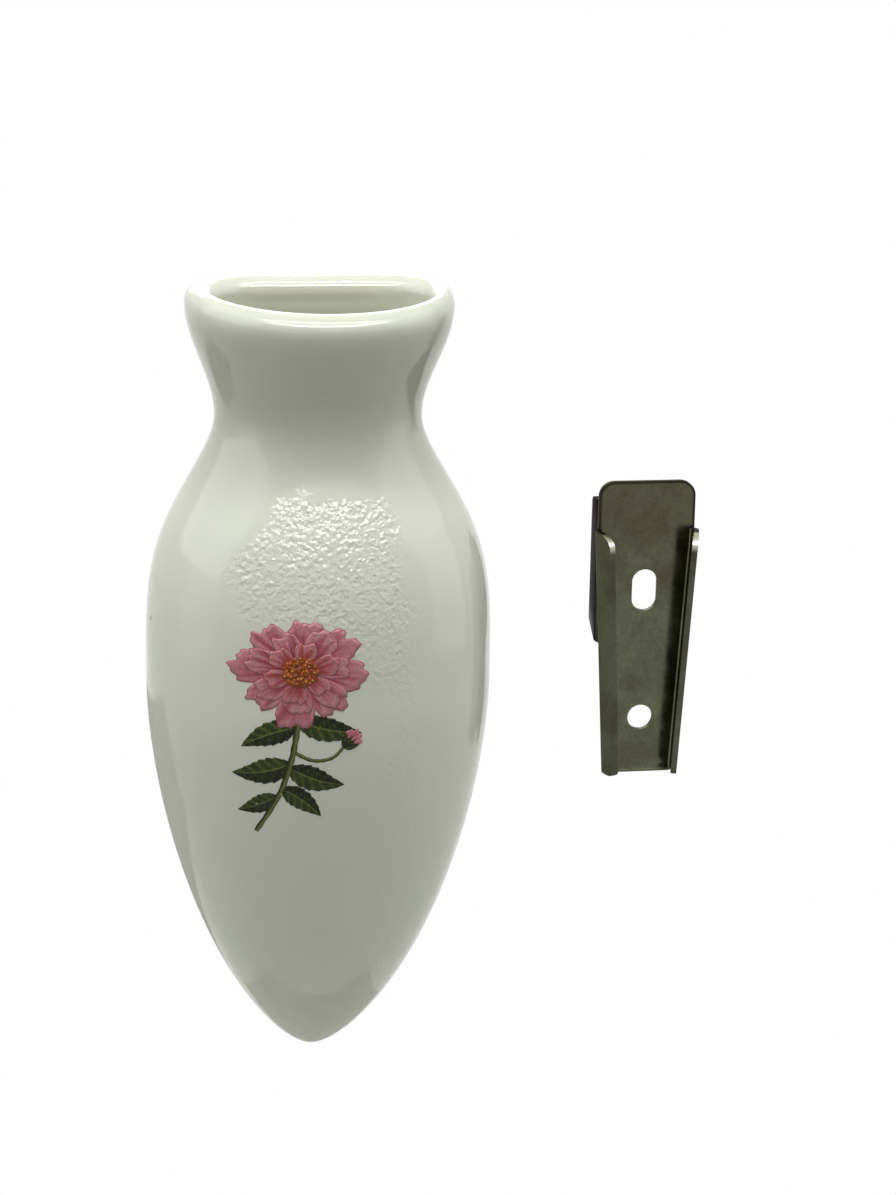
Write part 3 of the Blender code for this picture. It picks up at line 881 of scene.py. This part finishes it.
def make_saddle(steel, edge):
    """Stand-off behind the channel: web with an opening, and two flanges that point back."""
    bm = bmesh.new()
    sheet_grid(bm, saddle_columns())
    for face in bm.faces:
        face.normal_flip()
    place = BRACKET_PLACE + Vector((0.0, 2 * SHEET + SEAT_GAP, SADDLE_HEIGHT))
    saddle = make_object("saddle_pressing", bm, place, [steel, edge])
    margin = 2 * SADDLE_OPENING_MARGIN
    opening = slot_cutter("opening_cutter", SLOT_WIDTH + margin, SLOT_LENGTH + margin,
                          place, SLOT_HEIGHT - SADDLE_HEIGHT)
    press_sheet(saddle, [opening])
    return saddle


# Materials

class Nodes:
    """A node tree, with a short way to add nodes and link them."""

    def __init__(self, tree):
        self.tree = tree

    def node(self, kind, inputs=None, **settings):
        """New node with some inputs set or linked."""
        made = self.tree.nodes.new("ShaderNode" + kind)
        for key, value in settings.items():
            setattr(made, key, value)
        for key, value in (inputs or {}).items():
            self.put(made, key, value)
        return made

    def put(self, made, key, value):
        """Link a socket to an input, or write a constant on it."""
        socket = made.inputs[key]
        if isinstance(value, bpy.types.NodeSocket):
            self.tree.links.new(value, socket)
        else:
            socket.default_value = value

    def place(self):
        return self.node("TexCoord").outputs["Object"]

    def axes(self):
        """Place on the object as X, Y and Z."""
        return self.node("SeparateXYZ", {0: self.place()}).outputs

    def shifted(self, salt):
        """Place moved along, for a different noise."""
        inputs = {0: self.place(), 1: (salt, salt, salt)}
        return self.node("VectorMath", inputs, operation="ADD").outputs[0]

    def channel(self, colour, name):
        return self.node("SeparateColor", {0: colour}).outputs[name]

    def noise(self, scale, detail=2.0, roughness=0.5, vector=None):
        inputs = {"Scale": scale, "Detail": detail, "Roughness": roughness,
                  "Vector": vector or self.place()}
        return self.node("TexNoise", inputs).outputs["Fac"]

    def math(self, operation, a, b=0.0, c=0.0):
        return self.node("Math", {0: a, 1: b, 2: c}, operation=operation).outputs[0]

    def product(self, first, *others):
        for other in others:
            first = self.math("MULTIPLY", first, other)
        return first

    def span(self, value, low, high, to_low=0.0, to_high=1.0):
        """Eased step between two values, as the input goes from low to high."""
        inputs = {"Value": value, "From Min": low, "From Max": high,
                  "To Min": to_low, "To Max": to_high}
        return self.node("MapRange", inputs, interpolation_type="SMOOTHSTEP").outputs["Result"]

    def mix(self, share, a, b, blend="MIX"):
        """Colour mix, by the numbers of the node's colour sockets."""
        inputs = {0: share, 6: a, 7: b}
        return self.node("Mix", inputs, data_type="RGBA", blend_type=blend).outputs[2]

    def shaded(self, tone, share):
        """Colour times a grey."""
        grey = self.node("CombineXYZ", {0: share, 1: share, 2: share}).outputs[0]
        return self.mix(1.0, tone, grey, "MULTIPLY")

    def bump(self, height, distance, normal=None):
        inputs = {"Height": height, "Distance": distance, "Strength": 1.0}
        if normal:
            inputs["Normal"] = normal
        return self.node("Bump", inputs).outputs["Normal"]


class Shader(Nodes):
    """Nodes of a new material."""

    def __init__(self, name):
        self.material = bpy.data.materials.new(name)
        self.material.use_nodes = True
        super().__init__(self.material.node_tree)
        self.bsdf = self.tree.nodes["Principled BSDF"]

    def set(self, **inputs):
        """Set inputs of the shader, with _ for the spaces in their names."""
        for key, value in inputs.items():
            self.put(self.bsdf, key.replace("_", " "), value)


def speckled(shader, tone, speck, size, share, salt):
    """Sparse round specks over a colour, in some cells of a coarse grid."""
    cells = shader.node("TexVoronoi", {"Vector": shader.shifted(salt), "Scale": 1.0 / size})
    draw = shader.channel(cells.outputs["Color"], "Red")
    chosen = shader.span(draw, 1.0 - share, 1.0 - share + 0.001)
    near = shader.span(cells.outputs["Distance"], 0.03, 0.055, 1.0, 0.0)
    return shader.mix(shader.product(chosen, near), tone, speck)


def pebble_share(shader):
    """Where the glaze is pebbled: on the shoulder, and down the right of the belly."""
    ragged = shader.math("MULTIPLY_ADD", shader.noise(160.0, 3.0, 0.6), 0.012, -0.006)
    place = shader.axes()
    across = shader.math("ADD", place["X"], ragged)
    height = shader.math("ADD", place["Z"], ragged)
    # The left edge runs out down the shoulder, then back in across the belly
    upper_edge = shader.span(height, -0.0155, -0.0005, -0.0180, -0.0092)
    lower_edge = shader.span(height, -0.034, -0.0165, 0.0085, -0.0180)
    left_edge = shader.math("MAXIMUM", upper_edge, lower_edge)
    left = shader.span(shader.math("SUBTRACT", across, left_edge), -0.0020, 0.0015)
    right_edge = shader.span(height, -0.020, -0.004, 0.0140, 0.0090)
    right = shader.span(shader.math("SUBTRACT", across, right_edge), -0.0020, 0.0030, 1.0, 0.0)
    patches = shader.noise(260.0, 2.0, 0.5, shader.shifted(0.57))
    patchy = shader.span(patches, 0.38, 0.52, 0.6, 1.0)
    level = shader.math("MULTIPLY_ADD", ragged, 0.25, place["Z"])
    top = shader.span(level, -0.0026, -0.0010, 1.0, 0.0)
    low = shader.span(height, -0.040, -0.008, 0.25, 1.0)
    front = shader.span(place["Y"], -0.030, -0.026, 1.0, 0.0)
    return shader.product(left, right, top, low, front, patchy)


def glaze_surface(shader):
    """Relief of the glaze: slow waves, and pebbles in one patch."""
    waves = shader.noise(55.0, 1.5, 0.4)
    pebbles = shader.math("SUBTRACT", shader.noise(1050.0, 1.0, 0.5), 0.5)
    normal = shader.bump(waves, WAVE_HEIGHT)
    strength = shader.math("MULTIPLY_ADD", pebble_share(shader), 0.96, 0.04)
    return shader.bump(shader.product(pebbles, strength), PEBBLE_HEIGHT, normal)


def glaze_material():
    """Glossy off-white glaze with a few specks, and painted shade on the neck and inside the mouth.
    """
    shader = Shader("off_white_glaze")
    cloud = shader.noise(38.0, 3.0, 0.55)
    tone = shader.mix(shader.span(cloud, 0.35, 0.65), *GLAZE_TONES)
    across, back, height = shader.axes()
    # Painted shade: the neck and the underside of the lip darkened, where the rim shades them
    neck = shader.product(shader.span(height, -0.007, 0.005),
                          shader.span(height, 0.0265, 0.0305, 1.0, 0.0), 0.8)
    tone = shader.mix(neck, tone, PAINTED_NECK_SHADE)
    # Painted shade: a darker band on the back wall inside the mouth, just under the lip
    inner = shader.product(
        shader.span(shader.math("ABSOLUTE", across), 0.0070, 0.0190, 0.8, 0.0),
        shader.span(back, -0.0180, -0.0155), shader.span(back, -0.0105, -0.0095, 1.0, 0.0),
        shader.span(height, 0.0288, 0.0302), shader.span(height, 0.0320, 0.0330, 1.0, 0.0))
    tone = shader.mix(inner, tone, PAINTED_MOUTH_SHADE)
    tone = speckled(shader, tone, GLAZE_SPECK, 0.011, 0.10, 3.1)
    rough = shader.span(cloud, 0.3, 0.7, 0.06, 0.11)
    shader.set(Base_Color=tone, Roughness=rough, Normal=glaze_surface(shader))
    return shader.material


def transfer_material():
    """Fired print: coloured patches with a fine grain, and pale specks that are bare spots and
    painted glints.
    """
    shader = Shader("flower_transfer")
    tint = shader.node("VertexColor", layer_name="tint").outputs["Color"]
    grain = shader.span(shader.noise(2600.0, 3.0, 0.65), 0.32, 0.68, 0.82, 1.12)
    # Pale specks over the print: bare spots and painted glints
    tone = speckled(shader, shader.shaded(tint, grain), BARE_SPECK_AND_GLINT, 0.0034, 0.40, 7.7)
    shader.set(Base_Color=tone, Roughness=0.09, Specular_IOR_Level=0.15,
               Normal=glaze_surface(shader))
    return shader.material


def steel_tone(shader, low, high, stain):
    """Mottled sheet: two greys in clouds, brown stains, most on the tab, and a grain."""
    cloud = shader.noise(120.0, 4.0, 0.6)
    stained = shader.span(shader.noise(70.0, 3.0, 0.6, shader.shifted(0.31)), 0.52, 0.72)
    grain = shader.span(shader.noise(1500.0, 2.0, 0.6), 0.3, 0.7, 0.9, 1.1)
    tone = shader.mix(shader.span(cloud, 0.32, 0.68), low, high)
    tone = shader.mix(stained, tone, stain)
    upper = shader.span(shader.axes()["Z"], HEAD_Z - 0.012, HEAD_Z + 0.004, 0.0, 0.6)
    return shader.shaded(shader.mix(upper, tone, stain), grain)


def painted_tab_edge_shade(shader):
    """1 along the edge of the channel's tab, where a dark line of shade is painted, 0 elsewhere."""
    place = shader.axes()
    across = shader.math("ABSOLUTE", shader.math("SUBTRACT", place["X"], BRACKET_OFFSET))
    side = shader.math("MAXIMUM", shader.math("SUBTRACT", across, TAB_WIDTH / 2 - TAB_CORNER), 0.0)
    rise = shader.math("SUBTRACT", place["Z"], HEAD_Z + TAB_HEIGHT - TAB_CORNER)
    corner = shader.node("CombineXYZ", {0: side, 1: shader.math("MAXIMUM", rise, 0.0)}).outputs[0]
    reach = shader.node("VectorMath", {0: corner}, operation="LENGTH").outputs["Value"]
    return shader.product(shader.span(place["Z"], HEAD_Z - 0.001, HEAD_Z + 0.001),
                          shader.span(reach, TAB_CORNER - 0.0007, TAB_CORNER - 0.0003))


def steel_material(name, tones, graze):
    """Dull face of the sheet, rougher on the channel's flanges, with painted shade round its tab.
    """
    shader = Shader(name)
    tone = steel_tone(shader, *tones)
    # Painted shade: a dark line round the edge of the tab
    if name == "channel_steel":
        tone = shader.mix(painted_tab_edge_shade(shader), tone, TAB_EDGE_SHADE)
    flange = shader.span(shader.axes()["Y"], -0.0005, 0.0002, 0.40, 0.0)
    worn = shader.span(shader.noise(240.0, 3.0, 0.6), 0.3, 0.7, 0.15, 0.24)
    rough = shader.math("ADD", worn, flange)
    dents = shader.bump(shader.noise(300.0, 3.0, 0.5), 0.00002)
    shader.set(Base_Color=tone, Metallic=1.0, Roughness=rough, Normal=dents,
               Specular_Tint=(graze, graze, graze, 1.0))
    return shader.material


def edge_material(name, tones, graze):
    """Sheared edge of the sheet, bright on the heads of the flanges: worn steel and a painted
    highlight.
    """
    shader = Shader(name)
    place = shader.axes()
    # Worn steel and a painted highlight on the heads of the flanges
    rubbed_and_highlight = shader.product(
        shader.span(place["Z"], HEAD_Z - 0.0034, HEAD_Z - 0.0016),
        shader.span(place["Y"], -0.0022, -0.0034),
        shader.span(shader.noise(700.0, 3.0, 0.6), 0.25, 0.5, 0.75, 1.0))
    tone = shader.mix(rubbed_and_highlight, steel_tone(shader, *tones), RUBBED_STEEL_AND_HIGHLIGHT)
    shader.set(Base_Color=tone, Metallic=1.0, Roughness=0.3,
               Specular_Tint=(graze, graze, graze, 1.0))
    return shader.material


# Stage, light and camera

def white_share(nodes):
    """1 for rays that find white: from the camera, from gloss and through glass."""
    path = nodes.node("LightPath").outputs
    seen = nodes.math("MAXIMUM", path["Is Camera Ray"], path["Is Glossy Ray"])
    return nodes.math("MAXIMUM", seen, path["Is Transmission Ray"])


def make_world():
    """White for the rays that see it, and a low level of light for the rest."""
    world = bpy.data.worlds.new("studio")
    world.use_nodes = True
    bpy.context.scene.world = world
    nodes = Nodes(world.node_tree)
    background = nodes.tree.nodes["Background"]
    inputs = {"Value": white_share(nodes), "To Min": WORLD_LEVEL, "To Max": 1.0}
    nodes.put(background, "Color", WHITE)
    nodes.put(background, "Strength", nodes.node("MapRange", inputs).outputs["Result"])


def make_floor():
    """Plain pale floor below the object."""
    bm = bmesh.new()
    bmesh.ops.create_circle(bm, cap_ends=True, segments=96, radius=FLOOR_RADIUS)
    shader = Shader("pale_floor")
    tone = shader.mix(shader.noise(6.0, 3.0), *FLOOR_TONES)
    diffuse = shader.node("BsdfDiffuse", {"Color": tone}).outputs[0]
    glow = shader.node("Emission", {"Color": WHITE, "Strength": 1.0}).outputs[0]
    surface = shader.node("MixShader", {0: white_share(shader), 1: diffuse, 2: glow}).outputs[0]
    shader.put(shader.tree.nodes["Material Output"], "Surface", surface)
    floor = make_object("floor", bm, Vector((0.0, 0.0, FLOOR_HEIGHT)), [shader.material])


def make_lamp(name, azimuth, elevation, distance, width, height, power):
    """Soft lamp turned to the vase, which the camera doesn't see."""
    data = bpy.data.lights.new(name, "AREA")
    data.shape = "RECTANGLE"
    data.size = width
    data.size_y = height
    data.energy = power
    lamp = add_object(name, data)
    place = seen_from(azimuth, elevation, distance)
    lamp.location = place
    lamp.rotation_euler = (LIGHT_TARGET - place).to_track_quat("-Z", "Y").to_euler()
    lamp.visible_camera = False


def make_card(name, azimuth, elevation, distance, width, height, level):
    """Bright card turned to the vase, which shows only in the gloss."""
    bm = bmesh.new()
    bmesh.ops.create_grid(bm, x_segments=1, y_segments=1, size=0.5)
    bmesh.ops.scale(bm, verts=bm.verts, vec=(width, height, 1.0))
    place = seen_from(azimuth, elevation, distance)
    turn = (LIGHT_TARGET - place).to_track_quat("Z", "Y").to_matrix()
    bmesh.ops.rotate(bm, verts=bm.verts, matrix=turn)
    shader = Shader(name)
    tone = shader.mix(shader.noise(20.0, 3.0), *CARD_TONES)
    shader.set(Base_Color=tone, Roughness=0.9, Emission_Color=WHITE, Emission_Strength=level)
    card = make_object(name, bm, place, [shader.material])
    card.visible_camera = False
    card.visible_diffuse = False
    card.visible_shadow = False


def seen_from(azimuth, elevation, distance):
    """Place in a direction from the vase; azimuth 0 is in front and 90 on the right."""
    turn, rise = math.radians(azimuth), math.radians(elevation)
    level = math.cos(rise)
    way = Vector((math.sin(turn) * level, -math.cos(turn) * level, math.sin(rise)))
    return LIGHT_TARGET + way * distance


def make_lights():
    """Lamps on all sides, and the cards for the gloss."""
    for lamp in LAMPS:
        make_lamp(*lamp)
    for card in CARDS:
        make_card(*card)


def make_camera():
    """Camera at the photograph's viewing angle."""
    data = bpy.data.cameras.new("camera")
    data.lens = CAMERA_LENS
    data.sensor_width = SENSOR_WIDTH
    data.clip_start = CLIP_START
    data.clip_end = CLIP_END
    camera = add_object("camera", data)
    forward = (CAMERA_TARGET - CAMERA_PLACE).normalized()
    right = forward.cross(Vector((0.0, 0.0, 1.0))).normalized()
    up = right.cross(forward)
    across = right * math.cos(CAMERA_ROLL) + up * math.sin(CAMERA_ROLL)
    upward = up * math.cos(CAMERA_ROLL) - right * math.sin(CAMERA_ROLL)
    turn = Matrix((across, upward, -forward)).transposed()
    camera.matrix_world = Matrix.Translation(CAMERA_PLACE) @ turn.to_4x4()
    bpy.context.scene.camera = camera


def main():
    """Dress the frame and set the stage."""
    bpy.context.scene.view_settings.view_transform = "Standard"
    vase = make_vase(glaze_material())
    flower = make_flower(transfer_material())
    channel = make_channel(steel_material("channel_steel", WEB_TONES, WEB_GRAZE),
                           edge_material("channel_edge", EDGE_TONES, EDGE_GRAZE))
    saddle = make_saddle(steel_material("saddle_steel", SADDLE_TONES, SADDLE_GRAZE),
                         edge_material("saddle_edge", SADDLE_TONES, SADDLE_GRAZE))
    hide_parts("vase_body")
    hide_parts("bracket_channel")
    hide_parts("bracket_saddle")
    pieces = ((vase, "vase", "porcelain"), (flower, "vase", "porcelain"),
              (channel, "channel", "channel_steel"), (saddle, "saddle", "saddle_steel"))
    for piece, body, slot in pieces:
        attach(piece, body)
    make_world()
    make_floor()
    make_lights()
    make_camera()


main()
